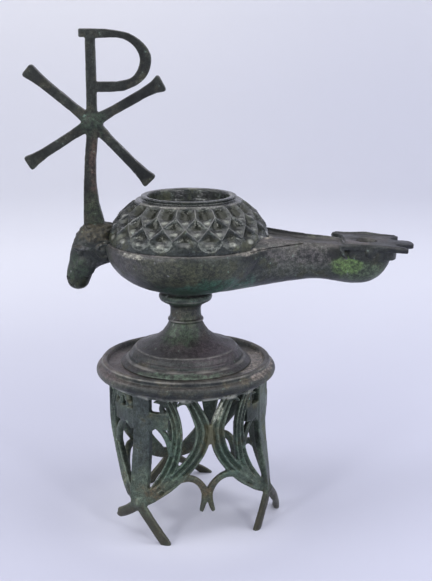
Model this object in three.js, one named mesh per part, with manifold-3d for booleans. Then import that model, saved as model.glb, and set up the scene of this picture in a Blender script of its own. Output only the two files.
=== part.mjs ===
// A bronze oil lamp on an openwork stand, in the early Christian manner.
// Millimetres, +Z up. The nozzle points along +X and the animal's head along -X.
// The stand's axis is modelled at x = 0, y = 0 with the feet's tips at z = 0, and the last lines
// move the whole to the centre of its own base.
import * as THREE from "three";
import { mergeVertices } from "three/addons/utils/BufferGeometryUtils.js";
import Module from "manifold-3d";

const wasm = await Module();
wasm.setup();

// Driving dimensions of the stand
const shellRadius = 43.6; // outer face of the openwork, under the tray
const shellTuck = 5.8; // how far in the middle of a panel is pressed, low down
const shellShift = 1.2; // the openwork stands a little towards +X of the tray's axis, as cast
const flareTop = 62; // below this height the openwork leaves its cylinder
const shellThickness = 3.6;
const crossingHeight = 22; // where two strips cross above a pair of feet
// The corners, uneven as cast: degrees from -Y towards +X, and how far each flares out. Of its two
// feet, the near one has the lower angle: how far it reaches along the shell, and its own splay.
const corners = [
  { angle: -34, flare: 4.2, near: { reach: 15, splay: -1, raised: true }, far: { reach: 14.5, splay: -3 } },
  { angle: 68, flare: 5.4, near: { reach: 7.5, splay: -3 }, far: { reach: 23, splay: 3 } },
  { angle: 195, flare: 4.2, near: { reach: 20, splay: 9 }, far: { reach: 14, splay: 0 } },
];
const trayFloor = 89.5;
const trayThickness = 4;
const bandHeight = 2.8; // the hoop under the tray's ring, that the strips hang from
const bandTop = trayFloor - 6.1;
const bandBottom = bandTop - bandHeight;
const trayRecessRadius = 42.4;
const trayRadius = 49.2;
const lipHeight = 2.8; // above the tray's floor
const lipWidth = 3.4;
const ringHalfHeight = 2.6;
const crossBarWidth = 10;
const crossArmHeight = 8.9;
const crossArmMiddle = 69;
const crossArmReach = 16.6; // from the bar's middle, along the shell
const footWidth = 5.6;
const raisedFootTip = 12.5; // the one strip that is bent up clear of the ground

// Driving dimensions of the lamp's pedestal
const seatGap = 0.3; // between the lamp's foot and the tray
const footRadius = 32;
const footRingWidth = 5;
const bellRadius = 28.3;
const neckRadius = 8.5;
const collarRadius = 14.6;
const pedestalHeight = 36.8; // from the tray to the middle of the collar
const collarHeight = trayFloor + seatGap + pedestalHeight;
const pedestalWall = 3.2;

// Driving dimensions of the lamp's bowl, dome and filling hole
const bodyX = 2; // the bowl's centre, a little towards the nozzle
const bowlRadius = 44.6;
const bowlHeight = 26.6;
const bowlBottom = collarHeight + 2.8;
const shoulderHeight = bowlBottom + bowlHeight;
const domeRadius = bowlRadius - 2;
const domeHeight = 22.8;
const mouthRadius = 22.2;
const mouthLipRadius = mouthRadius + 3.3;
const flangeRadius = mouthLipRadius + 2.9;
const flangeHeight = shoulderHeight + domeHeight;
const mouthHeight = flangeHeight + 3;
const wall = 3;
const scalesAround = 22;
const scaleRows = 4;
const scaleBump = 1.5;

// Driving dimensions of the nozzle and its wick plate
const plateStart = 81.5; // x of the plate's edge towards the bowl
const plateLength = 35;
const plateHalfWidth = 19.5;
const plateThickness = 2.8;
const plateTop = shoulderHeight + 2;
const plateSlope = THREE.MathUtils.degToRad(3.6);
const wickX = plateStart + 15.5;
const wickRadius = 6.5;
const dishDepth = 1.5;
const channelFloor = plateTop - 2.6;
const channelHalfWidth = 10.5;
const channelRise = 4.4; // its floor is this much higher at the dome

// Driving dimensions of the head and the monogram
const headX = bodyX - bowlRadius; // where the head joins the bowl
const monogramX = headX - 5.5; // the crossing of its three strokes
const stemFoot = shoulderHeight + 8;
const stemLength = 55.3; // up to the crossing
const monogramZ = stemFoot + stemLength;
const letterTop = monogramZ + 47.7;
const strokeWidth = 4.7;
const monogramThickness = 4.2;
const serif = [3.4, 4.4]; // reach to the left of the stem, and depth
// The bow's two edges from the top of the stem round to its underside, as [x from the monogram's
// crossing, z from the letter's top].
const bowOutside = [
  [8.1, -0.2], [19.1, -2.1], [26.1, -6.2], [30.1, -11], [31.3, -16.5], [29.1, -23.5], [24.1, -28.3],
  [17.1, -31.4], [10.1, -32],
];
const bowInside = [
  [4.1, -4.8], [12.8, -4.6], [19, -6.1], [23.7, -10.3], [25.5, -15.7], [23.9, -21.3], [20.1, -25.1],
  [13.1, -26.7], [5.1, -26.7],
];

const bronze = { color: 0x3a3f38, metalness: 0.75, roughness: 0.55 };
const lampMaterial = new THREE.MeshStandardMaterial(bronze);
const standMaterial = new THREE.MeshStandardMaterial({ ...bronze, color: 0x3d443b });

const deg = THREE.MathUtils.degToRad;
const clamp = THREE.MathUtils.clamp;

// A closed geometry as a solid, turned the right way out.
function solidOf(geometry) {
  geometry.deleteAttribute("normal");
  geometry.deleteAttribute("uv");
  const merged = mergeVertices(geometry, 1e-4);
  const corners = merged.index.array;
  const triangles = [];
  for (let i = 0; i < corners.length; i += 3) {
    const [a, b, c] = [corners[i], corners[i + 1], corners[i + 2]];
    if (a !== b && b !== c && c !== a) triangles.push(a, b, c);
  }
  const make = (list) =>
    new wasm.Manifold(
      new wasm.Mesh({
        numProp: 3,
        vertProperties: new Float32Array(merged.attributes.position.array),
        triVerts: new Uint32Array(list),
      }),
    );
  const solid = make(triangles);
  return solid.volume() > 0 ? solid : make(triangles.reverse());
}

function join(...solids) {
  return solids.flat().reduce((whole, piece) => whole.add(piece));
}

function meshOf(name, solid, material) {
  const { vertProperties, triVerts } = solid.getMesh();
  const geometry = new THREE.BufferGeometry();
  geometry.setAttribute("position", new THREE.BufferAttribute(vertProperties, 3));
  geometry.setIndex(new THREE.BufferAttribute(triVerts, 1));
  const faceted = geometry.toNonIndexed();
  faceted.computeVertexNormals();
  const mesh = new THREE.Mesh(faceted, material);
  mesh.name = name;
  return mesh;
}

// A solid turned about the Z axis from a closed profile of [radius, height].
function revolve(profile, segments, x = 0) {
  const points = [...profile, profile[0]].map(([r, z]) => new THREE.Vector2(r, z));
  const geometry = new THREE.LatheGeometry(points, segments);
  geometry.rotateX(Math.PI / 2);
  geometry.translate(x, 0, 0);
  return solidOf(geometry);
}

// A solid through rings of points, each ring of the same length, closed by a fan at either end.
function loft(rings) {
  const count = rings[0].length;
  const points = rings.flat();
  const middle = (ring) => ring.reduce((sum, p) => sum.add(p), new THREE.Vector3()).divideScalar(count);
  points.push(middle(rings[0]), middle(rings.at(-1)));
  const faces = [];
  for (let k = 0; k < count; k++) {
    const next = (k + 1) % count;
    for (let j = 0; j + 1 < rings.length; j++) {
      const [a, b] = [j * count + k, j * count + next];
      if ((j + k) % 2) faces.push(a, b, b + count, a, b + count, a + count);
      else faces.push(a, b, a + count, b, b + count, a + count);
    }
    const last = (rings.length - 1) * count;
    faces.push(points.length - 2, next, k);
    faces.push(points.length - 1, last + k, last + next);
  }
  const geometry = new THREE.BufferGeometry().setFromPoints(points);
  geometry.setIndex(faces);
  return solidOf(geometry);
}

// A closed outline of [x, z] as a plate that stands in the XZ plane, centred on y = 0.
function uprightPlate(outline, thickness, curveSegments = 10) {
  const shape = outline instanceof THREE.Shape ? outline : new THREE.Shape(vectors(outline));
  const geometry = new THREE.ExtrudeGeometry(shape, { depth: thickness, bevelEnabled: false, curveSegments });
  geometry.translate(0, 0, -thickness / 2);
  geometry.rotateX(Math.PI / 2);
  return solidOf(geometry);
}

function vectors(pairs) {
  return pairs.map(([a, b]) => new THREE.Vector2(a, b));
}

// Where a point of half a panel lies, from its distance along the shell from the corner's middle, its
// height, and its depth below the outer face. The openwork is round above. Below it flares at the
// corners and is pressed in between them, and each foot has its own splay.
function placer(corner, side, halfAngle, splay = 0) {
  const stretch = (deg(halfAngle) * shellRadius) / nominalHalf;
  const lift = bandBottom / nominalHoop;
  return (s, z, depth) => {
    const share = clamp(1 - s / nominalHalf, 0, 1);
    const fall = clamp((flareTop - z) / (flareTop - crossingHeight), 0, 1);
    const drift = (corner.flare + shellTuck) * share * share - shellTuck;
    const kick = splay * clamp((crossingHeight - z) / crossingHeight, 0, 1);
    const r = shellRadius + drift * fall * fall * (3 - 2 * fall) + kick - depth;
    const angle = deg(corner.angle) + (side * (s > 0 ? s * stretch : s)) / shellRadius;
    return new THREE.Vector3(shellShift + r * Math.sin(angle), -r * Math.cos(angle), z * lift);
  };
}

// A strip of the openwork along control points of [distance from the corner, height, width]. Its two
// faces lie a little within the full thickness of the casting, by its sink.
function strip(control, place, stations, sink) {
  const curve = new THREE.CatmullRomCurve3(control.map((p) => new THREE.Vector3(...p)), false, "centripetal");
  const rings = [];
  for (let i = 0; i < stations; i++) {
    const t = i / (stations - 1);
    const p = curve.getPoint(t);
    const along = curve.getTangent(t);
    const across = new THREE.Vector2(-along.y, along.x).normalize().multiplyScalar(p.z / 2);
    const at = (side, depth) => place(p.x + side * across.x, p.y + side * across.y, depth);
    const inner = shellThickness - sink;
    rings.push([at(1, sink), at(-1, sink), at(-1, inner), at(1, inner)]);
  }
  return loft(rings);
}

// The strips of half a panel, as [distance, height, width]. Distances run from the corner's cross to
// the panel's middle, as on a panel whose half is nominalHalf long and whose hoop is nominalHoop high.
// The feet run on past the corner.
const nominalHalf = 39.9;
const nominalHoop = 80.6;
const leafA = [
  [15.4, 82, 5.4], [19.6, 73, 5.8], [21.6, 63, 6], [20, 51, 6.6], [15.4, 39.5, 7.4], [7, 27.6, 6],
];
const leafB = [
  [28, 82, 6], [32, 75, 7], [35.8, 65, 8.6], [34, 54, 8.4], [27.5, 44, 8], [17, 34, 8], [6, 25.6, 6.6],
];
const braceC = [[8, 66.5, 2.6], [12.5, 62.5, 2.6], [16.3, 57, 2.8], [18, 51, 3]];
const curlOfA = [[15, 81.2, 2.4], [11.6, 81, 2.6], [9.8, 78.6, 3]];
const curlOfB = [[27, 81.4, 2.2], [24, 81.2, 2.4], [22.8, 79.4, 2.6]];
const arcD = [
  [12, 31, 5], [20, 35.2, 4.4], [28, 36.4, 3.9], [34, 33.6, 3.9], [38, 28, 4.8], [38, 23, 3.8], [36, 17, 1.6],
];
const throughCrossing = [[10, 28, 6], [5, 24.6, 6.2], [0, crossingHeight, 6.2]];

// A foot from the crossing to its tip. Below the ground it is cut off flat, save the raised one.
function foot({ reach, raised }) {
  if (!raised) return [[-reach / 2, crossingHeight / 2, footWidth], [-reach, -1.5, footWidth]];
  const middle = [-reach / 2, (crossingHeight + raisedFootTip) / 2 - 1, footWidth];
  return [middle, [-reach + 1, raisedFootTip, footWidth], [-reach, raisedFootTip, 3.6]];
}

// Half a panel, from one corner's cross to the panel's middle. side is 1 or -1.
function halfPanel(corner, side, halfAngle) {
  const ownFoot = side > 0 ? corner.near : corner.far;
  const place = placer(corner, side, halfAngle, ownFoot.splay);
  const pieces = [strip(leafA, place, 7, 0.5), strip(leafB, place, 7, 0.2)];
  pieces.push(strip(curlOfA, place, 3, 0.8), strip(curlOfB, place, 3, 0.8));
  pieces.push(strip(braceC, place, 4, 0.8));
  pieces.push(strip(arcD, place, 8, 0.65));
  pieces.push(strip([...throughCrossing, ...foot(ownFoot)], place, 6, side > 0 ? 0.1 : 0.35));
  const arm = [-1, crossArmReach / 2, crossArmReach].map((s) => [s, crossArmMiddle, crossArmHeight]);
  pieces.push(strip(arm, place, 3, 0));
  return pieces;
}

function crossBar(corner) {
  const bar = [[0, nominalHoop + 2, crossBarWidth], [0, 50, crossBarWidth], [0, crossingHeight, 7.4]];
  return strip(bar, placer(corner, 1, 60), 5, -0.3);
}

// The hoop, the tray and its moulded ring, turned in one.
function tray() {
  const lipTop = trayFloor + lipHeight;
  const ringMiddle = trayFloor - 3.4;
  const lipOuter = trayRecessRadius + lipWidth;
  const profile = [
    [0, trayFloor - trayThickness],
    [shellRadius - shellThickness, trayFloor - trayThickness],
    [shellRadius - shellThickness, bandBottom],
    [shellRadius, bandBottom],
    [shellRadius, bandTop - 0.6],
    [shellRadius + 1.4, bandTop + 0.4],
    [trayRadius - 1, ringMiddle - ringHalfHeight + 0.6],
    [trayRadius, ringMiddle],
    [trayRadius - 0.9, ringMiddle + ringHalfHeight - 0.6],
    [lipOuter + 0.9, trayFloor],
    [lipOuter + 0.3, lipTop - 0.6],
    [lipOuter - 0.5, lipTop],
    [trayRecessRadius + 1, lipTop],
    [trayRecessRadius, trayFloor],
    [0, trayFloor],
  ];
  return revolve(profile, 36);
}

function stand() {
  const pieces = [tray()];
  corners.forEach((corner, i) => {
    const next = corners[(i + 1) % corners.length];
    const span = (next.angle - corner.angle + 360) % 360;
    pieces.push(...halfPanel(corner, 1, span / 2));
    pieces.push(...halfPanel(next, -1, span / 2));
    pieces.push(crossBar(corner));
  });
  const underGround = new THREE.BoxGeometry(200, 200, 20).translate(0, 0, -10);
  return join(pieces).subtract(solidOf(underGround));
}

// The lamp's foot, bell and neck, up to the collar that carries the bowl. It is hollow below.
function pedestal() {
  const base = trayFloor + seatGap;
  const bellBottom = base + 4.4;
  const profile = [
    [footRadius, base],
    [footRadius + 0.2, base + 2.6],
    [footRadius - 1.4, base + 3.8],
    [bellRadius, bellBottom],
    [bellRadius, bellBottom + 3],
    [bellRadius - 1.8, bellBottom + 4.4],
    [bellRadius - 6.3, base + 10.8],
    [bellRadius - 11.3, base + 13.2],
    [neckRadius + 4.5, base + 16.2],
    [neckRadius + 2.1, base + 19.5],
    [neckRadius + 0.7, base + 21.4],
    [neckRadius + 1.2, base + 22.8],
    [neckRadius, base + 25],
    [neckRadius, collarHeight - 6],
    [collarRadius - 3.2, collarHeight - 3.2],
    [collarRadius - 0.7, collarHeight - 1.8],
    [collarRadius, collarHeight],
    [collarRadius - 0.6, collarHeight + 1.8],
    [collarRadius - 2.2, bowlBottom + 2],
    [0, bowlBottom + 2],
    [0, base + 14],
    [neckRadius - 1, base + 14],
    [bellRadius - pedestalWall, bellBottom + 0.6],
    [footRadius - footRingWidth, base],
  ];
  return revolve(profile, 28);
}

// Profiles of [radius, height] about the bowl's own axis.
const bowlProfile = [
  [0, bowlBottom],
  [bowlRadius - 28.8, bowlBottom + 0.5],
  [bowlRadius - 15.3, bowlBottom + 4.9],
  [bowlRadius - 7.3, bowlBottom + 9.9],
  [bowlRadius - 2.3, bowlBottom + 16.1],
  [bowlRadius - 0.2, bowlBottom + 21.8],
  [bowlRadius, shoulderHeight - 1],
  [bowlRadius - 1.2, shoulderHeight + 0.8],
  [0, shoulderHeight + 0.8],
];
const domeProfile = [
  [domeRadius, shoulderHeight - 1],
  [domeRadius - 0.2, shoulderHeight + 2.5],
  [domeRadius - 1.2, shoulderHeight + 7],
  [domeRadius - 3.4, flangeHeight - 11.4],
  [domeRadius - 6.6, flangeHeight - 7.2],
  [domeRadius - 10.4, flangeHeight - 3.6],
  [flangeRadius, flangeHeight],
];

// The dome's radius and height at a share of its rise, on a smooth curve through its profile.
const domeCurve = new THREE.SplineCurve(vectors(domeProfile));

// The dome with its lozenge scales. Every second point of the grid is the middle of a scale.
function dome() {
  const columns = 2 * scalesAround;
  const rows = 2 * scaleRows;
  const rings = [ring(domeRadius - 0.4, shoulderHeight - 2, columns)];
  for (let j = 0; j <= rows; j++) {
    const p = domeCurve.getPoint(j / rows);
    const slope = domeCurve.getTangent(j / rows);
    const outward = new THREE.Vector2(slope.y, -slope.x);
    const edge = j === 0 || j === rows;
    rings.push(
      Array.from({ length: columns }, (_, k) => {
        const lift = !edge && (j + k) % 2 ? scaleBump : 0;
        return polar(p.x + outward.x * lift, p.y + outward.y * lift, k / columns);
      }),
    );
  }
  rings.push(ring(flangeRadius - 0.4, flangeHeight + 0.7, columns));
  return loft(rings);
}

function polar(radius, z, turn) {
  const angle = 2 * Math.PI * turn;
  return new THREE.Vector3(bodyX + radius * Math.cos(angle), radius * Math.sin(angle), z);
}

function ring(radius, z, count) {
  return Array.from({ length: count }, (_, k) => polar(radius, z, k / count));
}

function mouth() {
  const profile = [
    [0, flangeHeight - 3],
    [mouthLipRadius - 0.5, flangeHeight - 3],
    [mouthLipRadius - 0.5, mouthHeight - 1.8],
    [mouthLipRadius, mouthHeight - 0.5],
    [mouthLipRadius - 0.6, mouthHeight],
    [0, mouthHeight],
  ];
  return revolve(profile, 44, bodyX);
}

// The oil's room, a wall's thickness inside the bowl and the dome, and the way in from above.
function oilRoom() {
  const profile = [
    [0, bowlBottom + wall + 0.6],
    [bowlRadius - 29.6, bowlBottom + wall + 0.8],
    [bowlRadius - 16.6, bowlBottom + wall + 5],
    [bowlRadius - 8.6, bowlBottom + wall + 9.4],
    [bowlRadius - 4.2, bowlBottom + wall + 16],
    [bowlRadius - wall - 0.4, shoulderHeight - 3],
    [domeRadius - wall - 0.4, shoulderHeight + 2],
    [domeRadius - wall - 1.6, shoulderHeight + 6.5],
    [domeRadius - wall - 4.4, flangeHeight - 10.8],
    [domeRadius - wall - 8, flangeHeight - 7],
    [flangeRadius, flangeHeight - wall - 1.6],
    [mouthRadius, flangeHeight - wall - 0.4],
    [mouthRadius, mouthHeight + 5],
    [0, mouthHeight + 5],
  ];
  return revolve(profile, 24, bodyX);
}

// The nozzle's sections: x from the plate's back edge, half-width, underside above the bowl's bottom,
// and top below the plate's top.
const nozzleStations = [
  [-73.5, 33, 1.1, 2],
  [-61.5, 33, 1.2, -1],
  [-49.5, 29, 2.6, -4.4],
  [-37.5, 22, 4.2, -3.9],
  [-25.5, 17, 5.8, -2.6],
  [-13.5, 15, 7, -1.3],
  [-3.5, 15.2, 6.2, 0],
  [6.5, 17, 4.8, 2],
  [15.5, 17.2, 5.4, 2.6],
  [22.5, 13.6, 9, 3.2],
  [26.8, 9, 14.6, 3.6],
  [29, 4.5, 20.6, 4],
].map(([x, w, low, drop]) => [plateStart + x, w, bowlBottom + low, plateTop - drop]);

// A section across the nozzle: round below, squarer towards its flat top.
function nozzleSection([x, halfWidth, bottom, top], inset = 0) {
  const count = 16;
  const [w, low, high] = [halfWidth - inset, bottom + inset, top - inset];
  const belly = low + (high - low) * 0.62;
  return Array.from({ length: count }, (_, k) => {
    const angle = (2 * Math.PI * (k + 0.5)) / count;
    const [c, s] = [Math.cos(angle), Math.sin(angle)];
    const across = w * Math.sign(c) * Math.abs(c) ** 0.9;
    const up = s > 0 ? belly + (high - belly) * s ** 0.35 : belly - (belly - low) * (-s) ** 0.9;
    return new THREE.Vector3(x, across, up);
  });
}

function nozzleOuter() {
  return loft(nozzleStations.map((station) => nozzleSection(station)));
}

function nozzleRoom() {
  const inner = nozzleStations.slice(2, 10);
  const lowered = inner.map(([x, w, b, t]) => [x, w, b, Math.min(t, channelFloor + 0.2)]);
  lowered.unshift([inner[0][0] - 8, 22, bowlBottom + wall + 0.2, channelFloor]);
  return loft(lowered.map((station) => nozzleSection(station, wall)));
}

// The hollow between the nozzle's two rims, on its top, from the dome to the wick plate.
function channel() {
  const start = bodyX + bowlRadius - 4;
  const end = plateStart + 1.5;
  const middle = plateStart - 21.5;
  const floorAt = (x) => channelFloor + (channelRise * (end - x)) / (end - start);
  const section = (x, halfWidth) =>
    [[-halfWidth, floorAt(x) + 0.8], [-halfWidth + 2, floorAt(x)], [halfWidth - 2, floorAt(x)],
      [halfWidth, floorAt(x) + 0.8], [halfWidth + 1, plateTop + 8], [-halfWidth - 1, plateTop + 8]]
      .map(([y, z]) => new THREE.Vector3(x, y, z));
  return loft([
    section(start, channelHalfWidth + 3),
    section(middle, channelHalfWidth + 0.5),
    section(end, channelHalfWidth),
  ]);
}

// The plate round the wick hole, seen from above: horned at the back, with three lugs in front.
function wickPlate() {
  const front = plateStart + plateLength;
  const w = plateHalfWidth;
  const half = [
    [plateStart + 4, 0],
    [plateStart + 3.4, w - 9],
    [plateStart - 1, w - 3],
    [plateStart, w],
    [plateStart + 8.5, w - 1.5],
    [plateStart + 17, w],
    [plateStart + 25, w - 1.4],
    [front - 4, w],
    [front, w - 2],
    [front - 0.6, w - 7],
    [front - 5.5, w - 10],
    [front - 4.5, w - 13],
    [front + 3.5, w - 14],
    [front + 5.8, w - 16.5],
    [front + 5.8, 0],
  ];
  const outline = [...half, ...half.slice(1, -1).reverse().map(([x, y]) => [x, -y])];
  const shape = new THREE.Shape(vectors(outline));
  const plate = new THREE.ExtrudeGeometry(shape, { depth: plateThickness, bevelEnabled: false });
  plate.translate(0, 0, -plateThickness);
  const dish = new THREE.CylinderGeometry(1, 0.86, dishDepth * 2, 20).rotateX(Math.PI / 2);
  dish.scale(wickRadius + 6.5, wickRadius + 4.5, 1).translate(wickX, 0, 0);
  const sloped = (geometry) =>
    geometry.translate(-plateStart, 0, 0).rotateY(plateSlope).translate(plateStart, 0, plateTop);
  return solidOf(sloped(plate)).subtract(solidOf(sloped(dish)));
}

function wickHole() {
  const depth = 12;
  const hole = new THREE.CylinderGeometry(wickRadius, wickRadius, depth, 20).rotateX(Math.PI / 2);
  return solidOf(hole.translate(wickX, 0, plateTop - plateThickness));
}

// The animal's head, in level sections: height above the bowl's bottom, foremost and rearmost x from
// where it joins the bowl, and half-width.
const headSections = [
  [1.4, -17, -12.8, 3],
  [3.6, -20.2, -9.8, 6],
  [6.6, -21.3, -8.2, 7.2],
  [11.1, -21.1, -6, 7.4],
  [14, -20.3, -0.9, 7.9],
  [17.1, -19.7, 6.6, 8.4],
  [20.6, -19.1, 6.6, 9],
  [24.6, -18.3, 6.6, 9.4],
  [29.6, -16.2, 6.6, 8.8],
  [33.6, -13.8, 6.6, 7.4],
  [36, -11, 4.6, 5],
].map(([rise, front, back, w]) => [bowlBottom + rise, headX + front, headX + back, w]);

function head() {
  const count = 12;
  const sections = headSections.map(([z, front, back, w]) =>
    Array.from({ length: count }, (_, k) => {
      const angle = (2 * Math.PI * k) / count;
      const x = (front + back) / 2 + ((back - front) / 2) * Math.cos(angle);
      return new THREE.Vector3(x, w * Math.sin(angle), z);
    }),
  );
  const pieces = [loft(sections)];
  for (const side of [1, -1]) {
    const horn = new THREE.TorusGeometry(3.3, 1.3, 5, 10).rotateX(Math.PI / 2);
    pieces.push(solidOf(horn.translate(headX - 1.8, side * 8.6, bowlBottom + 22)));
    const eye = new THREE.SphereGeometry(1.7, 6, 4);
    pieces.push(solidOf(eye.translate(headX - 12.4, side * 8, bowlBottom + 23.6)));
  }
  return join(pieces);
}

// One stroke of the monogram from its crossing to a flared end.
function stroke(end, endWidth) {
  const along = new THREE.Vector2(...end);
  const length = along.length();
  along.normalize();
  const half = strokeWidth / 2;
  const flare = [length * 0.88, half + 0.35];
  const outline = [[0, half * 0.9], [length * 0.72, half], flare, [length, endWidth / 2]];
  const both = [...outline, ...outline.slice().reverse().map(([s, w]) => [s, -w])];
  return uprightPlate(
    both.map(([s, w]) => [monogramX + along.x * s - along.y * w, monogramZ + along.y * s + along.x * w]),
    monogramThickness,
  );
}

// The upright letter's stem, which widens to its seat on the head.
function stem() {
  const half = strokeWidth / 2;
  const x = monogramX;
  const outline = [
    [x - 5.8, stemFoot], [x - 4.5, stemFoot + 19], [x - 3.5, stemFoot + 36], [x - half - 0.2, monogramZ - 7.3],
    [x - half, letterTop - 2], [x + half, letterTop - 2], [x + half, monogramZ - 7.3],
    [x + 1.5, stemFoot + 36], [x + 1.4, stemFoot + 24], [x + 2.6, stemFoot + 13], [x + 6, stemFoot],
  ];
  return uprightPlate(outline, monogramThickness);
}

// The letter's bow, with the small serif at its left.
function bow() {
  const left = monogramX - strokeWidth / 2;
  const [reach, depth] = serif;
  const placed = (edge) => edge.map(([x, z]) => [monogramX + x, letterTop + z]);
  const [outside, inside] = [placed(bowOutside), placed(bowInside)];
  const outer = new THREE.Shape();
  outer.moveTo(left, outside.at(-1)[1]);
  outer.lineTo(...outside.at(-1));
  outer.splineThru(vectors(outside.slice(0, -1).reverse()));
  outer.lineTo(left - reach, letterTop);
  outer.lineTo(left - reach, letterTop - depth);
  outer.lineTo(left, letterTop - depth);
  const inner = new THREE.Shape();
  inner.moveTo(left + strokeWidth, inside.at(-1)[1]);
  inner.lineTo(...inside.at(-1));
  inner.splineThru(vectors(inside.slice(0, -1).reverse()));
  inner.lineTo(left + strokeWidth, inside[0][1]);
  return uprightPlate(outer, monogramThickness, 2).subtract(uprightPlate(inner, monogramThickness * 2, 2));
}

function monogram() {
  const strokes = [
    stroke([-33.1, 27.1], 7),
    stroke([36.7, 20.4], 8.6),
    stroke([-33.7, -21.1], 7.4),
    stroke([29.5, -30.4], 7.6),
  ];
  return join(stem(), bow(), strokes);
}

function lamp() {
  const bowl = revolve(bowlProfile, 44, bodyX);
  const vessel = join(bowl, nozzleOuter()).subtract(channel());
  const whole = join(vessel, dome(), mouth(), wickPlate(), pedestal(), head(), monogram());
  return whole.subtract(oilRoom()).subtract(nozzleRoom()).subtract(wickHole());
}

const oilLamp = new THREE.Group();
oilLamp.add(meshOf("stand", stand(), standMaterial));
oilLamp.add(meshOf("lamp", lamp(), lampMaterial));
const extent = new THREE.Box3().setFromObject(oilLamp);
const middleOfBase = extent.getCenter(new THREE.Vector3());
oilLamp.position.set(-middleOfBase.x, -middleOfBase.y, -extent.min.z);

export default oilLamp;
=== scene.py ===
# A patinated bronze oil lamp on its openwork stand, dressed for its photograph.
# Lengths are millimetres from the stand's axis at the ground, the nozzle towards +X and the viewer
# towards -Y, and each mesh is moved to the frame's own origin and to metres as it is made. The lights
# and the camera are in the frame's metres.
from math import copysign, cos, pi, radians, sin

import bmesh
import bpy
import numpy as np
from mathutils import Matrix, Vector, noise


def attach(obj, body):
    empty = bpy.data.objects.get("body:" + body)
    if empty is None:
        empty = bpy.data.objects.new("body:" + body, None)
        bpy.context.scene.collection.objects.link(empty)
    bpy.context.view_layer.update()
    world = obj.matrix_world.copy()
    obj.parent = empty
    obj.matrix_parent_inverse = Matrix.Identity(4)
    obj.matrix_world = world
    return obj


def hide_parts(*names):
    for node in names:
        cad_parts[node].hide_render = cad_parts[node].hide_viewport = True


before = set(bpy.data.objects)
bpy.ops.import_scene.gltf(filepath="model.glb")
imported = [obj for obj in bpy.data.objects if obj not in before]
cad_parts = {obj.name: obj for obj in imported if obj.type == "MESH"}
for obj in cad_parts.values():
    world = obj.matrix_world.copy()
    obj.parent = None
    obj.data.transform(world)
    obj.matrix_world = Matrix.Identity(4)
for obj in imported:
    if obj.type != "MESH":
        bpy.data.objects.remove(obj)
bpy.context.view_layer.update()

# Where the stand's axis stands in the frame
AXIS = np.array([-19.228, -3.088, 0.0])

# Sizes shared with the solids
SHELL_RADIUS = 43.6
SHELL_TUCK = 5.8  # how far the openwork curves in between its corners
SHELL_SHIFT = 1.2
FLARE_TOP = 62.0  # below this height the corners flare out
CROSSING = 22.0  # where two strips cross above a pair of feet
NOMINAL_HALF = 39.9  # from a corner to the middle of a panel
BODY_X = 2.0
WALL = 3.0
PLATE_START = 81.5
PLATE_SLOPE = radians(3.6)
PLATE_TOP = 158.0
WICK_X = 97.0
SCALE_COLUMNS = 21
SCALE_START = 0.15  # share of the dome's face that is plain below the scales
SCALE_SHIFT = 0.32  # how far the scales are turned about the dome, as a share of a column
SCALE_DEPTH = 1.9  # of a scale's hollow
RIDGE_WIDTH = 0.085  # share of a scale
MONOGRAM_X = -48.1  # the crossing of the monogram's strokes
MONOGRAM_Z = 219.3


def full_or_quick(full):
    """The value for a full run."""
    return full


# How fine the meshes are
VOXEL = full_or_quick(0.5)
OPENWORK_VOXEL = VOXEL * 0.84
PLATE_VOXEL = full_or_quick(0.42)
HEAD_VOXEL = full_or_quick(0.45)
MONOGRAM_VOXEL = full_or_quick(0.42)
OPENWORK_TRIANGLES = 196000
BOWL_TRIANGLES = 180000
TURNED_SIDES = 260


# Points and meshes

def smoothstep(low, high, value):
    t = np.clip((np.asarray(value, float) - low) / (high - low), 0.0, 1.0)
    return t * t * (3.0 - 2.0 * t)


def in_scene(name, data):
    """A new object in the scene for a mesh, a light or a camera."""
    obj = bpy.data.objects.new(name, data)
    bpy.context.scene.collection.objects.link(obj)
    return obj


def new_object(name, points, faces):
    """A mesh object from points in millimetres, with doubled points merged and faces turned outwards."""
    mesh = bpy.data.meshes.new(name)
    placed = (np.asarray(points, float) + AXIS) / 1000.0
    mesh.from_pydata(placed.tolist(), [], faces)
    work = bmesh.new()
    work.from_mesh(mesh)
    bmesh.ops.remove_doubles(work, verts=work.verts, dist=2e-7)
    bmesh.ops.recalc_face_normals(work, faces=work.faces)
    work.to_mesh(mesh)
    work.free()
    return in_scene(name, mesh)


def rounded(corners, radius, steps):
    """The outline with each corner between its ends replaced by a curve that starts a radius before it."""
    corners = [np.asarray(c[:2], float) for c in corners]
    out = [corners[0]]
    for before, at, after in zip(corners, corners[1:], corners[2:]):
        ends = []
        for other in (before, after):
            away = np.linalg.norm(other - at)
            ends.append(at + (other - at) / max(away, 1e-9) * min(radius, 0.48 * away))
        for i in range(steps + 1):
            t = i / steps
            out.append((1 - t) ** 2 * ends[0] + 2 * t * (1 - t) * at + t * t * ends[1])
    out.append(corners[-1])
    return out


def spline(control, count):
    """Points at even steps of a Catmull-Rom curve through the control points."""
    control = [np.asarray(c, float) for c in control]
    ends = [2 * control[0] - control[1]] + control + [2 * control[-1] - control[-2]]
    spans = len(control) - 1
    out = []
    for i in range(count):
        place = i / (count - 1) * spans
        k = min(int(place), spans - 1)
        t = place - k
        a, b, c, d = ends[k:k + 4]
        value = 2 * b + (c - a) * t + (2 * a - 5 * b + 4 * c - d) * t * t
        out.append(0.5 * (value + (3 * b - a - 3 * c + d) * t ** 3))
    return out


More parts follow.
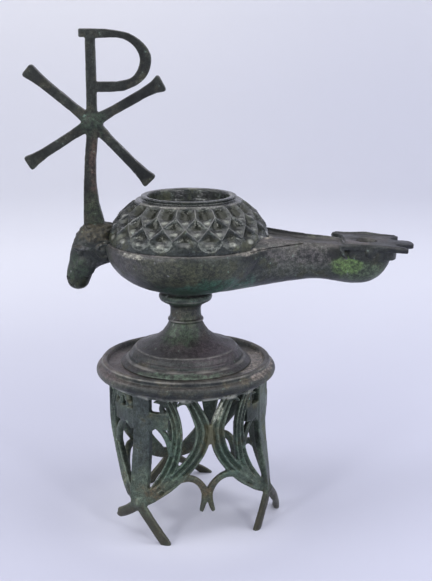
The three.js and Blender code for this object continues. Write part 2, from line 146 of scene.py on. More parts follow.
def revolve(name, profile, segments, centre_x=0.0):
    """A form turned about an upright axis from a profile of radius and height."""
    count = len(profile)
    points = []
    for k in range(segments):
        angle = 2 * pi * k / segments
        c, s = cos(angle), sin(angle)
        points += [(centre_x + p[0] * c, p[0] * s, p[1]) for p in profile]
    faces = []
    for k in range(segments):
        a, b = k * count, ((k + 1) % segments) * count
        faces += [(a + j, a + j + 1, b + j + 1, b + j) for j in range(count - 1)]
    return new_object(name, points, faces)


def loft(name, rings):
    """A solid through rings of points, closed by a fan at either end."""
    count = len(rings[0])
    points = [p for ring in rings for p in ring]
    points += [np.mean(rings[0], axis=0), np.mean(rings[-1], axis=0)]
    faces = []
    for j in range(len(rings) - 1):
        for k in range(count):
            a, b = j * count + k, j * count + (k + 1) % count
            faces.append((a, b, b + count, a + count))
    last = (len(rings) - 1) * count
    for k in range(count):
        n = (k + 1) % count
        faces.append((len(points) - 2, n, k))
        faces.append((len(points) - 1, last + k, last + n))
    return new_object(name, points, faces)


def plate(name, outline, low, high, lay=None):
    """A flat plate over a closed outline, between two heights. lay moves its points to where they belong."""
    count = len(outline)
    points = np.array([(x, y, z) for z in (low, high) for x, y in outline], float)
    if lay:
        points = lay(points)
    faces = [(k, (k + 1) % count, count + (k + 1) % count, count + k) for k in range(count)]
    faces += [tuple(range(count)), tuple(range(2 * count - 1, count - 1, -1))]
    return new_object(name, points, faces)


def standing(points):
    """Stands a flat plate's points up across Y."""
    return points[:, [0, 2, 1]]


def mirrored(half):
    """A closed outline from its half on the side of +Y, whose ends lie on the middle line."""
    return half + [np.array((p[0], -p[1])) for p in half[-2:0:-1]]


def ball(name, centre, radii, turn=(0.0, 0.0, 0.0)):
    """An ellipsoid, turned by angles in degrees about X, Y and Z."""
    work = bmesh.new()
    bmesh.ops.create_icosphere(work, subdivisions=4, radius=1.0)
    points = np.array([v.co[:] for v in work.verts]) * np.asarray(radii)
    faces = [tuple(v.index for v in f.verts) for f in work.faces]
    work.free()
    return new_object(name, points @ rotation_of(turn).T + np.asarray(centre), faces)


def rotation_of(degrees):
    """The matrix that turns about X, then Y, then Z."""
    cx, cy, cz = [cos(a) for a in np.radians(degrees)]
    sx, sy, sz = [sin(a) for a in np.radians(degrees)]
    rx = np.array([[1, 0, 0], [0, cx, -sx], [0, sx, cx]])
    ry = np.array([[cy, 0, sy], [0, 1, 0], [-sy, 0, cy]])
    rz = np.array([[cz, -sz, 0], [sz, cz, 0], [0, 0, 1]])
    return rz @ ry @ rx


def tube(name, path, radii, sides):
    """A round bar along a path, with a radius at each of its points."""
    path = [np.asarray(p, float) for p in path]
    rings = []
    for i, p in enumerate(path):
        along = path[min(i + 1, len(path) - 1)] - path[max(i - 1, 0)]
        along = along / np.linalg.norm(along)
        first = np.cross(along, (0, 1, 0)) if abs(along[1]) < 0.9 else np.cross(along, (1, 0, 0))
        first = first / np.linalg.norm(first)
        second = np.cross(along, first)
        angles = [2 * pi * k / sides for k in range(sides)]
        rings.append([p + radii[i] * (cos(a) * first + sin(a) * second) for a in angles])
    return loft(name, rings)


# Working on whole objects

def apply_modifiers(obj):
    """Puts the modifiers' result in place of the object's mesh."""
    bpy.context.view_layer.update()
    graph = bpy.context.evaluated_depsgraph_get()
    mesh = bpy.data.meshes.new_from_object(obj.evaluated_get(graph))
    old = obj.data
    obj.modifiers.clear()
    obj.data = mesh
    bpy.data.meshes.remove(old)
    return obj


def discard(objects):
    """Removes objects and their meshes."""
    for obj in objects:
        mesh = obj.data
        bpy.data.objects.remove(obj)
        bpy.data.meshes.remove(mesh)


def join(name, objects):
    """All the objects' meshes in one new object."""
    work = bmesh.new()
    for obj in objects:
        work.from_mesh(obj.data)
    mesh = bpy.data.meshes.new(name)
    work.to_mesh(mesh)
    work.free()
    discard(objects)
    return in_scene(name, mesh)


def fuse(obj, voxel, smoothing):
    """Makes one skin round overlapping solids, and eases the corners where they meet."""
    remesh = obj.modifiers.new("fuse", "REMESH")
    remesh.mode = "VOXEL"
    remesh.voxel_size = voxel / 1000.0
    ease = obj.modifiers.new("ease", "SMOOTH")
    ease.factor = 0.5
    ease.iterations = smoothing
    return apply_modifiers(obj)


def cut(obj, cutters):
    """Takes the cutters' room out of the object."""
    for cutter in cutters:
        boolean = obj.modifiers.new("cut", "BOOLEAN")
        boolean.operation = "DIFFERENCE"
        boolean.solver = "MANIFOLD"
        boolean.object = cutter
        apply_modifiers(obj)
    discard(cutters)
    return obj


def thin_out(obj, most):
    """Collapses short edges until the mesh has no more than this many triangles."""
    triangles = sum(len(p.vertices) - 2 for p in obj.data.polygons)
    if triangles > most:
        fewer = obj.modifiers.new("fewer", "DECIMATE")
        fewer.ratio = most / triangles
        apply_modifiers(obj)
    return obj


def move_points(obj, shift):
    """Moves each point along its normal by what shift gives for the points, all in millimetres."""
    mesh = obj.data
    count = len(mesh.vertices)
    points = np.empty(count * 3)
    normals = np.empty(count * 3)
    mesh.vertices.foreach_get("co", points)
    mesh.vertices.foreach_get("normal", normals)
    points = points.reshape(-1, 3)
    normals = normals.reshape(-1, 3)
    own = points * 1000.0 - AXIS
    points = points + normals * shift(own)[:, None] / 1000.0
    mesh.vertices.foreach_set("co", points.ravel())
    mesh.update()
    return obj


def lumps(points, size, seed):
    """Soft noise between about -1 and 1, with features of the given size in millimetres."""
    offset = Vector((seed * 17.3, seed * 5.1, seed * 9.7))
    return np.array([noise.noise(Vector(p) / size + offset) for p in points.tolist()])


def cast_skin(obj, amount, seed):
    """The slight unevenness of a sand casting."""
    return move_points(obj, lambda p: amount * (lumps(p, 7.0, seed) + 0.6 * lumps(p, 2.2, seed + 5)))


def dress(obj, material):
    """Shades a mesh smoothly, in one material."""
    mesh = obj.data
    mesh.polygons.foreach_set("use_smooth", [True] * len(mesh.polygons))
    mesh.materials.clear()
    mesh.materials.append(material)


def finish_piece(obj, node, material):
    """Gives a piece its material, attaches it to the root, and hides the node that it replaces."""
    dress(obj, material)
    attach(obj, "root")
    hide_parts(node)


# The stand's openwork. A corner has its angle from -Y towards +X, its flare, and its two feet, near the
# next corner and far from it: how far each reaches along the shell, how far it splays, and whether its
# tip is bent up clear. A drop says how much lower its crossing sits, under a narrower bar.

CORNERS = [
    {"angle": -34.0, "flare": 4.2, "near": (15.0, -1.0, True), "far": (14.5, -3.0, False)},
    {"angle": 68.0, "flare": 5.4, "near": (7.5, -3.0, False), "far": (23.0, 3.0, False)},
    {"angle": 195.0, "flare": 4.2, "near": (19.0, 9.0, False), "far": (14.0, 0.0, False), "drop": 6.0},
]
DROP_FADE = (38, 72)  # heights between which a drop dies out
DROP_REACH = 26  # from the panel's middle to where a drop is in full
# Control points of the strips of half a panel: distance from the corner, height, width
LEAF_A = [(15.4, 82, 5.4), (19.6, 73, 5.8), (21.6, 63, 6.0), (20, 51, 6.6), (15.4, 39.5, 7.4), (7, 27.6, 6)]
LEAF_B = [(28, 82, 6), (32, 75, 7), (35.8, 65, 8.6), (34, 54, 8.4), (27.5, 44, 8), (17, 34, 8),
          (6, 25.6, 6.6)]
TONGUE_A = [(17, 79.0, 4.2), (14, 79.4, 2.8), (10.6, 79.3, 1.7), (8.2, 79.0, 0.9)]
CURL_A = [(16, 79.2, 3.4), (13.6, 78, 3.2), (12.6, 76, 3.0), (13.4, 74, 3.2), (15.4, 73, 3.0)]
CURL_B = [(28.6, 79.6, 3.4), (25.6, 80.0, 2.4), (23.2, 79.2, 1.7), (21.8, 77.8, 1.0)]
BRACE = [(10.2, 65.6, 3.0), (13.6, 62.3, 3.2), (16.4, 57.3, 3.4), (18.2, 50, 3.6)]
UNION = [(39.9, 67, 2.4), (39.9, 63, 3.6), (39.9, 59.5, 3.0), (39.9, 56.5, 1.2)]
FILLET = [(4.6, 62.6, 2.4), (6.0, 64.2, 2.6), (8.2, 65.2, 2.4)]
ARC = [(12, 31, 5), (20, 35.2, 4.4), (28, 36.4, 3.9), (34, 33.6, 3.9), (38, 28, 4.8), (38, 23, 4.0),
       (36.0, 16.4, 2.6)]
# Sections of the strips: share of the half-width, and depth below the outer face
RIDGED = [(1, 1.5), (0.95, 0.5), (0.78, -0.1), (0.6, 0.8), (0.42, 2.5), (0.24, 0.8), (0, -0.2), (-0.24, 0.8),
          (-0.42, 2.5), (-0.6, 0.8), (-0.78, -0.1), (-0.95, 0.5), (-1, 1.5), (-0.86, 3.6), (0.86, 3.6)]
ROUNDED = [(1, 1.3), (0.72, 0.4), (0, 0.1), (-0.72, 0.4), (-1, 1.3), (-0.9, 3.2), (0, 3.5), (0.9, 3.2)]
FLAT = [(1, 0.4), (0.95, 0.0), (-0.95, 0.0), (-1, 0.4), (-1, 3.6), (1, 3.6)]


def placer(corner, side, half_angle, splay=0.0):
    """Where a point of half a panel lies, from its distance from the corner, its height and its depth."""
    stretch = radians(half_angle) * SHELL_RADIUS / NOMINAL_HALF

    def settled(s, z):
        """The height of a point, which is lower round a crossing that sits low."""
        share = smoothstep(0, CROSSING, z) * (1 - smoothstep(*DROP_FADE, z))
        share = share * smoothstep(0, DROP_REACH, NOMINAL_HALF - s)
        return z - corner.get("drop", 0.0) * float(share)

    def place(s, z, depth):
        share = min(max(1 - s / NOMINAL_HALF, 0.0), 1.0)
        fall = float(smoothstep(0, 1, (FLARE_TOP - z) / (FLARE_TOP - CROSSING)))
        drift = (corner["flare"] + SHELL_TUCK) * share * share - SHELL_TUCK
        kick = splay * min(max((CROSSING - z) / CROSSING, 0.0), 1.0)
        r = SHELL_RADIUS + drift * fall + kick - depth
        angle = radians(corner["angle"]) + side * (s * stretch if s > 0 else s) / SHELL_RADIUS
        return np.array([SHELL_SHIFT + r * sin(angle), -r * cos(angle), settled(s, z)])

    return place


def strip(control, place, section, stations, deeper):
    """A strip of the openwork along its control points."""
    samples = spline(control, stations)
    rings = []
    for i, p in enumerate(samples):
        along = samples[min(i + 1, stations - 1)] - samples[max(i - 1, 0)]
        across = np.array([-along[1], along[0]])
        across = across / np.linalg.norm(across) * p[2] / 2
        rings.append([place(p[0] + a * across[0], p[1] + a * across[1], d + deeper) for a, d in section])
    return loft("strip", rings)


def foot_points(reach, raised):
    """Control points of a foot, from below its crossing to its tip."""
    if raised:
        tip = 12.5
        return [(-reach / 2, (CROSSING + tip) / 2 - 1, 5.6), (1 - reach, tip, 5.4), (-reach, tip, 4.2)]
    return [(-reach / 2, CROSSING / 2, 5.7), (-reach * 0.97, 0.4, 5.5), (-reach * 1.05, -1.6, 4.0)]


def half_panel(corner, side, half_angle):
    """All the strips between a corner and the middle of the panel on one side of it."""
    reach, splay, raised = corner["near"] if side > 0 else corner["far"]
    place = placer(corner, side, half_angle, splay)
    through = [(10, 28, 6), (5, 24.9, 6.2), (0, CROSSING, 6.2)] + foot_points(reach, raised)
    arm = [(-1, 69, 8.9), (8.3, 69, 8.6), (16.6, 69, 8.9)]
    strips = [
        (LEAF_A, RIDGED, 28, 0.0), (LEAF_B, RIDGED, 30, 0.0), (TONGUE_A, ROUNDED, 12, 0.1),
        (CURL_A, ROUNDED, 14, 0.15), (FILLET, FLAT, 8, 0.1), (CURL_B, ROUNDED, 14, 0.1),
        (BRACE, ROUNDED, 14, 0.1), (ARC, ROUNDED, 30, -0.05), (UNION, ROUNDED, 16, -0.15),
        (through, ROUNDED, 26, -0.3 if side > 0 else 0.0), (arm, FLAT, 8, 0.0),
    ]
    return [strip(control, place, section, stations, deeper) for control, section, stations, deeper in strips]


def corner_bar(corner):
    """The upright bar of a corner, and the knot at its crossing."""
    place = placer(corner, 1, 60)
    low_width = 5.0 if corner.get("drop") else 9.8
    bar = [(0, 82.6, 10), (0, 65, 10), (0, 45, low_width), (0, CROSSING, 0.78 * low_width)]
    return [strip(bar, place, FLAT, 16, -0.2), ball("knot", place(0, CROSSING, 2.2), (2.9, 2.9, 3.0))]


def openwork():
    """The whole openwork with its hoop, cut off flat at the ground."""
    solids = []
    for i, corner in enumerate(CORNERS):
        following = CORNERS[(i + 1) % len(CORNERS)]
        span = (following["angle"] - corner["angle"]) % 360
        solids += half_panel(corner, 1, span / 2)
        solids += half_panel(following, -1, span / 2)
        solids += corner_bar(corner)
    for s, z, size in ((8.6, 78.0, 2.6), (6.6, 75.4, 1.7), (9.4, 74.6, 1.5)):
        spot = placer(CORNERS[0], -1, 60)(s, z, 2.0)
        solids.append(ball("bud", spot, (size, size, size)))
    hoop = [(40.2, 80.6), (43.2, 80.6), (43.6, 81.0), (43.6, 84.5), (40.2, 84.5), (40.2, 80.6)]
    solids.append(revolve("hoop", hoop, 160))
    obj = fuse(join("openwork", solids), OPENWORK_VOXEL, 2)
    block = [(-90, -90), (90, -90), (90, 90), (-90, 90)]
    cut(obj, [plate("under the ground", block, -20, 0)])
    return cast_skin(thin_out(obj, OPENWORK_TRIANGLES), 0.08, 3)


def tray():
    """The round tray on top of the openwork, with its rounded rim and its raised lip."""
    under = [(0, 85.5), (40.2, 85.5), (40.2, 81.6), (43.7, 81.6), (44.0, 83.3), (44.9, 83.7)]
    rim = [(48.2, 83.9), (49.2, 86.1), (48.4, 88.5), (46.9, 89.3), (46.3, 89.4)]
    lip = [(46.1, 90.1), (46.2, 91.2), (45.3, 92.3), (43.5, 92.2), (42.5, 90.6), (42.2, 89.7), (41.2, 89.5)]
    profile = rounded(under + rim + lip + [(0, 89.5)], 1.1, 5)
    return cast_skin(revolve("tray", profile, TURNED_SIDES), 0.06, 8)


# The lamp

def pedestal():
    """The lamp's foot, bell, neck and collar, hollow below."""
    foot = [(35.6, 89.8), (35.4, 90.4), (33.2, 91.7), (32.4, 92.7), (31.2, 93.1), (31.0, 94.2), (30.6, 94.9),
            (30.0, 95.2), (29.0, 97.2), (27.9, 98.1), (27.5, 98.8), (26.7, 98.9)]
    bell = [(22, 100.5), (17, 103.0), (13, 106.0), (10.6, 109.3), (9.4, 111.6), (9.0, 112.5)]
    neck = [(9.5, 112.8), (9.8, 113.5), (9.5, 114.3), (8.7, 114.7), (8.3, 116.8), (8.3, 120.2)]
    collar = [(9.1, 121.9), (11.4, 123.2), (13.9, 124.5), (14.6, 126.4), (14.1, 128), (12.9, 128.7),
              (12.6, 129.3), (13.4, 130), (12.4, 131.4), (0, 131.4)]
    under = [(0, 103.8), (7.5, 103.8), (15, 100), (25.1, 94.8), (27, 89.8), (35.6, 89.8)]
    profile = rounded(foot + bell + neck + collar, 0.7, 3) + rounded(under, 1.0, 3)
    return cast_skin(revolve("pedestal", profile, TURNED_SIDES), 0.07, 11)


def nozzle_sections(stations, samples, inset=0.0, around=40):
    """Rings across the nozzle: round below, squarer towards its flat top."""
    rings = []
    for x, w, low, high in spline(stations, samples):
        w, low, high = w - inset, low + inset, high - inset
        belly = low + (high - low) * 0.62
        ring = []
        for k in range(around):
            angle = 2 * pi * (k + 0.5) / around
            c, s = cos(angle), sin(angle)
            across = w * copysign(abs(c) ** 0.9, c)
            up = belly + (high - belly) * s ** 0.35 if s > 0 else belly - (belly - low) * (-s) ** 0.9
            ring.append((x, across, up))
        rings.append(ring)
    return rings


# Sections of the nozzle: distance along X, half-width, underside, top
NOZZLE = [(8, 33, 130.5, 156), (20, 33, 130.6, 159), (32, 29, 132, 162.4), (44, 22, 133.6, 162.1),
          (56, 17, 135.2, 160.7), (68, 15, 136.4, 159.2), (78, 15.2, 135.6, 158.0), (88, 17, 134.2, 156),
          (97, 17.2, 134.8, 155.4), (104, 13.6, 138.4, 154.8), (108.3, 9, 144, 154.4), (110.5, 4.5, 150, 154)]


def channel():
    """The room above the nozzle's top, between its rims, with a floor that rises towards the dome."""
    rings = []
    stations = [(40, 14.5, 159.0), (50, 12.9, 157.8), (60, 11.6, 156.7), (70, 10.9, 155.7), (84, 10.5, 154.9)]
    for x, half, z in stations:
        side = [(half - 1.6, z), (half - 0.3, z + 0.9), (half + 0.2, z + 2.4), (half + 1.2, 168)]
        rings.append([(x, -y, up) for y, up in side[::-1]] + [(x, y, up) for y, up in side])
    return loft("channel", rings)


def joint_grooves():
    """The thin joint line along either side of the nozzle, running out from the dome."""
    pivot_x, height, half_width = 48, 156.9, 0.22
    centre = Vector((pivot_x + AXIS[0], AXIS[1], height)) / 1000.0
    tilt = Matrix.Rotation(-radians(3.4), 4, "Y")
    cutters = []
    for side in (1, -1):
        outline = [(34, side * 13.6), (62, side * 12.4), (62, side * 26), (34, side * 36)]
        sheet = plate("joint", outline, -half_width, half_width)
        sheet.data.transform(Matrix.Translation((0, 0, height / 1000.0)))
        sheet.data.transform(Matrix.Translation(centre) @ tilt @ Matrix.Translation(-centre))
        cutters.append(sheet)
    return cutters


def bowl_hollows():
    """The oil's room in the bowl, the passage from it along the nozzle, and the wick's hole."""
    profile = [(0, 133), (15, 133.2), (28, 137.4), (36, 141.8), (40.4, 148.4), (41.2, 153), (39.2, 158),
               (38, 170), (0, 170)]
    room = revolve("room", rounded(profile, 3.0, 4), 96, BODY_X)
    roof = 155.6
    inner = [(24, 22, 132.6, 155.4)]
    inner += [(x, w, low, min(high, roof)) for x, w, low, high in NOZZLE if 30 < x < 105]
    passage = loft("passage", nozzle_sections(inner, 30, WALL, 24))
    wick_hole = tube("wick hole", [(WICK_X, 0, 146), (WICK_X, 0, 165)], (6.5, 6.5), 40)
    return [room, passage, wick_hole]


def bowl():
    """The bowl and the nozzle as one hollow body."""
    section = [(0, 129.4), (9, 129.5), (15.8, 129.9), (29.3, 134.3), (37.3, 139.3), (42.3, 145.5),
               (44.4, 151.2), (44.6, 154.6), (43.9, 156.4), (42.6, 157.1), (0, 157.1)]
    body = revolve("bowl", rounded(section, 4.0, 6), 160, BODY_X)
    nozzle = loft("nozzle", nozzle_sections(NOZZLE, 60))
    obj = fuse(join("bowl", [body, nozzle]), VOXEL, 5)
    cut(obj, [channel()])
    obj = fuse(obj, VOXEL, 2)
    cut(obj, joint_grooves())
    cut(obj, bowl_hollows())
    return cast_skin(thin_out(obj, BOWL_TRIANGLES), 0.12, 21)


def scale_relief(turn, rise):
    """The dome's scales: how far each point stands out in millimetres, how close it is to a ridge, and
    how far it lies in the hollow under a scale's upper edges."""
    p = turn * SCALE_COLUMNS + SCALE_SHIFT
    q = 2.0 * (rise - SCALE_START) / (1 - SCALE_START)
    m = np.floor(p + q)
    n = np.floor(p - q)
    top = q > 1.5
    foot = q < 0.5
    across = 2 * (p - np.where(top | foot, np.round(p), (m + n + 1) / 2))
    along = 2 * (q - np.where(top, 1.5, np.where(foot, 0.5, (m - n) / 2)))
    lozenge = (1 - (across + along) ** 2) * (1 - (across - along) ** 2)
    upright = (1 - across ** 2) ** 2
    away = np.sqrt(across ** 2 + along ** 2)
    arch = np.clip(1 - away ** 2, 0, 1) ** 2
    bowl_shape = np.where(top, upright, np.where(foot, arch, lozenge))
    lozenge_edge = 1 - np.abs(across) - np.abs(along)
    edge = np.where(top, 1 - np.abs(across), np.where(foot, np.abs(1 - away), lozenge_edge))
    ridge = np.exp(-((edge / RIDGE_WIDTH) ** 2))
    high = np.where(top, 0.6, np.clip(along, -1, 1))
    depth = SCALE_DEPTH * bowl_shape * (1 + 0.3 * high)
    swell = 0.9 * np.exp(-(((along + 0.42) / 0.3) ** 2) - (across / 0.42) ** 2) * np.where(top, 0.0, 1.0)
    fade = smoothstep(0.06, 0.16, rise) * (1 - 0.7 * smoothstep(0.94, 1.0, rise))
    ridge = ridge * np.where(foot, 0.35, 1.0)
    # This value marks where shade is painted, in the upper half of each scale's hollow, and below nought
    # where a highlight is painted, on the swell.
    hollow = bowl_shape * smoothstep(-0.3, 0.3, high) - swell
    return (0.35 - depth + 1.15 * swell + 0.4 * ridge) * fade, ridge * fade, hollow * fade


# Profiles of the dome, radius and height: its face, the filling hole's lip, and the inner face
DOME_FACE = [(42.6, 155.0), (42.4, 158.5), (41.4, 163.0), (39.2, 167.4), (36.0, 171.6), (32.2, 175.2),
             (28.4, 178.2)]
HOLE_LIP = [(28.4, 178.2), (28.3, 178.9), (27.6, 179.3), (25.4, 179.4), (25.0, 179.7), (25.0, 180.3),
            (25.4, 180.7), (25.3, 181.2), (24.6, 181.5), (22.4, 181.3), (21.9, 180.5), (21.6, 176),
            (20.4, 170.2)]
DOME_INSIDE = [(20.4, 170.2), (21.6, 169.6), (24.0, 173.6), (28.6, 174.2), (31.6, 171.8), (35.2, 168),
               (38, 162.5), (39, 158), (39, 154), (42.6, 154), (42.6, 155.0)]


def carved_rings(turns):
    """Rings of radius and height up the dome's scaled face, with each point's ridge and hollow."""
    rows = full_or_quick(96)
    face = spline(DOME_FACE, rows)
    rings, ridges, hollows = [], [], []
    for j, p in enumerate(face):
        step = np.array(face[min(j + 1, rows - 1)]) - np.array(face[max(j - 1, 0)])
        normal = np.array([step[1], -step[0]]) / np.linalg.norm(step)
        lift, ridge, hollow = scale_relief(turns, np.full(len(turns), j / (rows - 1)))
        rings.append((p[0] + normal[0] * lift, p[1] + normal[1] * lift))
        ridges += list(ridge)
        hollows += list(hollow)
    return rings, ridges, hollows


def dome():
    """The scaled dome with its flange, the filling hole's lip and its inner face, as one shell."""
    around = SCALE_COLUMNS * full_or_quick(26)
    turns = np.arange(around) / around
    rings, ridges, hollows = carved_rings(turns)
    for p in rounded(HOLE_LIP, 0.5, 2)[1:] + rounded(DOME_INSIDE, 2.0, 2)[1:-1]:
        rings.append((np.full(around, p[0]), np.full(around, p[1])))
    points = []
    for r, z in rings:
        points += list(zip(BODY_X + r * np.cos(2 * np.pi * turns), r * np.sin(2 * np.pi * turns), z))
    faces = []
    for j in range(len(rings)):
        a, b = j * around, ((j + 1) % len(rings)) * around
        faces += [(a + k, a + (k + 1) % around, b + (k + 1) % around, b + k) for k in range(around)]
    obj = cast_skin(new_object("dome", points, faces), 0.07, 31)
    plain = [0.0] * (len(points) - len(ridges))
    for name, values in (("ridge", ridges), ("hollow", hollows)):
        obj.data.attributes.new(name, "FLOAT", "POINT").data.foreach_set("value", values + plain)
    return obj


# Half outlines of the wick plate, seen from above: its back and side, its tip, and the band under it
PLATE_SIDE = [(85.5, 0), (84.9, 10), (83.2, 14.5), (80.4, 17.0), (80.6, 19.2), (82.6, 20.0), (86.5, 18.6),
              (90.5, 18.2), (96.5, 18.8), (98.5, 20.0), (100.5, 18.9), (105, 18.4), (111, 19.5),
              (116.2, 19.3)]
PLATE_TIP = [(117, 17.4), (116, 13.2), (112.4, 11.4), (110.9, 8.8), (112.2, 6.8), (118.5, 6.1), (121.6, 4.8),
             (122.2, 2.6), (122.3, 0)]
BAND = [(84.6, 0), (84.6, 16.4), (90, 17.6), (98.5, 18.6), (105, 17.4), (110, 14.6), (112.4, 9), (113, 0)]


def sloped(points):
    """Lays points of the wick plate on its slope towards the tip."""
    points = np.asarray(points, float)
    x = points[:, 0] - PLATE_START
    z = points[:, 2]
    c, s = cos(PLATE_SLOPE), sin(PLATE_SLOPE)
    return np.column_stack([PLATE_START + x * c + z * s, points[:, 1], PLATE_TOP - x * s + z * c])


def plate_trim(side):
    """The flare behind a side of the wick plate, the lump beside its hole and the raised edge."""
    flare = [(80.8, side * 18.4, -1.2), (81.6, side * 18.9, -3.0), (83.0, side * 18.8, -5.2),
             (85.2, side * 18.2, -7.4)]
    edge = [(82, side * 17.5, -0.3), (90, side * 17.2, 0), (98.5, side * 18.2, 0.35), (106, side * 17.3, 0),
            (115, side * 17.4, -0.4)]
    return [
        tube("flare", sloped(flare), [0.9, 1.2, 1.4, 0.9], 14),
        ball("lump", sloped([(97.6, side * 18.4, -3.6)])[0], (3.0, 1.3, 2.4)),
        tube("edge", sloped(spline(edge, 20)), [0.75] * 20, 8),
    ]


def wick_plate():
    """The plate with the wick's hole in a shallow dish, on the band that holds it to the nozzle."""
    top = mirrored(rounded(PLATE_SIDE + PLATE_TIP, 1.6, 4))
    band = mirrored(rounded(BAND, 3.0, 4))
    solids = [plate("top", top, -2.6, -0.2, sloped), plate("band", band, -7.6, -1.5, sloped)]
    for side in (1, -1):
        solids += plate_trim(side)
    obj = fuse(join("wick_plate", solids), PLATE_VOXEL, 3)
    dish = ball("dish", sloped([(WICK_X - 0.5, 0, 6.6)])[0], (14.5, 12.0, 8.0))
    hole = tube("hole", [(WICK_X, 0, 146), (WICK_X, 0, 166)], (6.0, 6.0), 48)
    cut(obj, [dish, hole])
    return cast_skin(obj, 0.12, 41)


# Sections of the head and neck: height, front, back, half-width
HEAD = [(130.6, -59.4, -55.8, 3.2), (132.4, -62.4, -53, 5.6), (136, -63.9, -51.0, 7.0),
        (140.5, -63.7, -48.8, 7.2), (143.6, -62.9, -44.5, 7.6), (146.5, -62.3, -36, 8.0),
        (150, -61.7, -36, 8.4), (154, -60.6, -36, 9.0), (159, -58.6, -36, 8.6), (163, -56.2, -36, 7.4),
        (165.4, -53.8, -37.5, 5.4), (166.2, -51, -40, 3.4)]


def head():
    """The animal's head and neck, with its brows, eyes, cheeks, nose, lips and horns."""
    rings = []
    angles = [2 * pi * k / 30 for k in range(30)]
    for z, front, back, w in spline(HEAD, 34):
        middle, reach = (front + back) / 2, (back - front) / 2
        rings.append([(middle + reach * cos(a), w * sin(a), z) for a in angles])
    solids = [loft("core", rings), ball("lips", (-57.6, 0, 134.4), (5.6, 6.4, 4.2))]
    for side in (1, -1):
        solids.append(ball("brow", (-55.6, side * 7.0, 153.6), (4.2, 1.9, 1.5), (0, 10, side * 12)))
        solids.append(ball("eye", (-55.2, side * 7.9, 151.6), (1.7, 1.1, 1.3)))
        solids.append(ball("cheek", (-52.6, side * 5.9, 144.6), (5.2, 3.0, 6.4)))
        solids.append(ball("nose", (-61.6, side * 3.4, 137.8), (2.0, 2.2, 2.6)))
        solids += horn_curl(side)
    obj = fuse(join("head", solids), HEAD_VOXEL, 4)
    dents = [ball("nostril", (-62.8, side * 4.6, 137.2), (1.1, 1.0, 1.5)) for side in (1, -1)]
    dents.append(ball("mouth", (-61.0, 0, 133.6), (3.6, 7.5, 0.45), (0, 28, 0)))
    cut(obj, dents)
    return move_points(cast_skin(obj, 0.14, 51), crusted)


def horn_curl(side):
    """The round curl beside the animal's neck: a ring about a knob, and a ridge part of the way round."""
    middle = np.array((-42.6, side * 9.3, 152.6))
    ring, ridge, ridge_radii = [], [], []
    for k in range(25):
        angle = 2 * pi * k / 24
        ring.append(middle + (3.5 * cos(angle), 0, 3.5 * sin(angle)))
    for k in range(17):
        angle = -0.55 * pi + 1.25 * pi * k / 16
        ridge.append(middle + (5.4 * cos(angle), -side * 1.2, 5.4 * sin(angle) + 0.2))
        ridge_radii.append(0.5 + 0.5 * sin(pi * k / 16))
    return [
        tube("ring", ring, [0.9] * 25, 10),
        ball("knob", middle, (2.2, 1.2, 2.2)),
        tube("ridge", ridge, ridge_radii, 10),
        ball("behind", middle - (0, side * 3.6, 0), (6.2, 3.6, 6.2)),
    ]


def crusted(points):
    """How far the rough, encrusted crown of the head and neck stands out."""
    crown = smoothstep(153, 159, points[:, 2] + 0.25 * (points[:, 0] + 50))
    return crown * (0.55 * lumps(points, 2.4, 61) + 0.3 * lumps(points, 1.1, 62))


def stroke(end, end_width):
    """Outline of one stroke of the monogram, from its crossing to a flared end."""
    end = np.array(end, float)
    length = np.linalg.norm(end)
    along = end / length
    half = end_width / 2
    side = [(0, 3.6), (7.5, 2.8), (12, 2.45), (length * 0.72, 2.6), (length * 0.88, 3.2),
            (length - 1.2, half - 0.1), (length - 0.3, half - 0.5), (length, half - 1.6)]
    both = side + [(s, -w) for s, w in reversed(side)]
    outline = []
    for s, w in both:
        outline.append((MONOGRAM_X + along[0] * s - along[1] * w, MONOGRAM_Z + along[1] * s + along[0] * w))
    return outline


def bow_outlines():
    """The letter's outline with its top bar and its bow, and the eye inside the bow."""
    outer = [(-40, 266.8), (-29, 264.9), (-22, 260.8), (-18, 256), (-16.8, 250.5), (-19, 243.5), (-24, 238.7),
             (-31, 235.6)]
    inner = [(-44, 262.2), (-35.3, 262.4), (-29.1, 260.9), (-24.4, 256.7), (-22.6, 251.3), (-24.2, 245.7),
             (-28, 241.9), (-35, 240.3)]
    left = -50.45
    outside = [(left, 235), (-38, 235)] + spline(outer[::-1], 40)
    outside += [(left - 3.4, 267), (left - 3.4, 262.6), (left, 262.6)]
    inside = [(-45.6, 240.3)] + spline(inner[::-1], 40) + [(-45.6, 262.2)]
    return outside, inside


def monogram():
    """The upright stem with its letter and the four strokes that cross on it."""
    stem = [(-53.9, 163.4), (-53.4, 183), (-52.4, 200), (-51.2, 212), (-50.7, 230), (-50.5, 265),
            (-45.5, 265), (-45.3, 212), (-46.6, 200), (-46.7, 188), (-45.5, 177), (-43.6, 169.5),
            (-42.1, 163.4)]
    half_thick = 2.1
    stroke_half = 2.05
    outside, inside = bow_outlines()
    letter = plate("letter", outside, -half_thick, half_thick, standing)
    cut(letter, [plate("eye", inside, -5, 5, standing)])
    solids = [letter, plate("stem", stem, -half_thick, half_thick, standing)]
    solids.append(ball("boss", (MONOGRAM_X, 0, MONOGRAM_Z), (6.0, 2.8, 6.8)))
    ends = [((-33.3, 27.3), 7.8), ((37.0, 20.6), 9.4), ((-34.3, -21.6), 8.2), ((30.1, -31.0), 8.4)]
    for end, width in ends:
        solids.append(plate("stroke", stroke(end, width), -stroke_half, stroke_half, standing))
    obj = fuse(join("monogram", solids), MONOGRAM_VOXEL, 3)
    return cast_skin(obj, 0.12, 71)


# Materials. Tones are given as they look on a screen, with parts up to 255.

def tone(red, green, blue):
    """A colour in linear light, from parts between 11 and 255."""
    return (*(((value / 255 + 0.055) / 1.055) ** 2.4 for value in (red, green, blue)), 1.0)


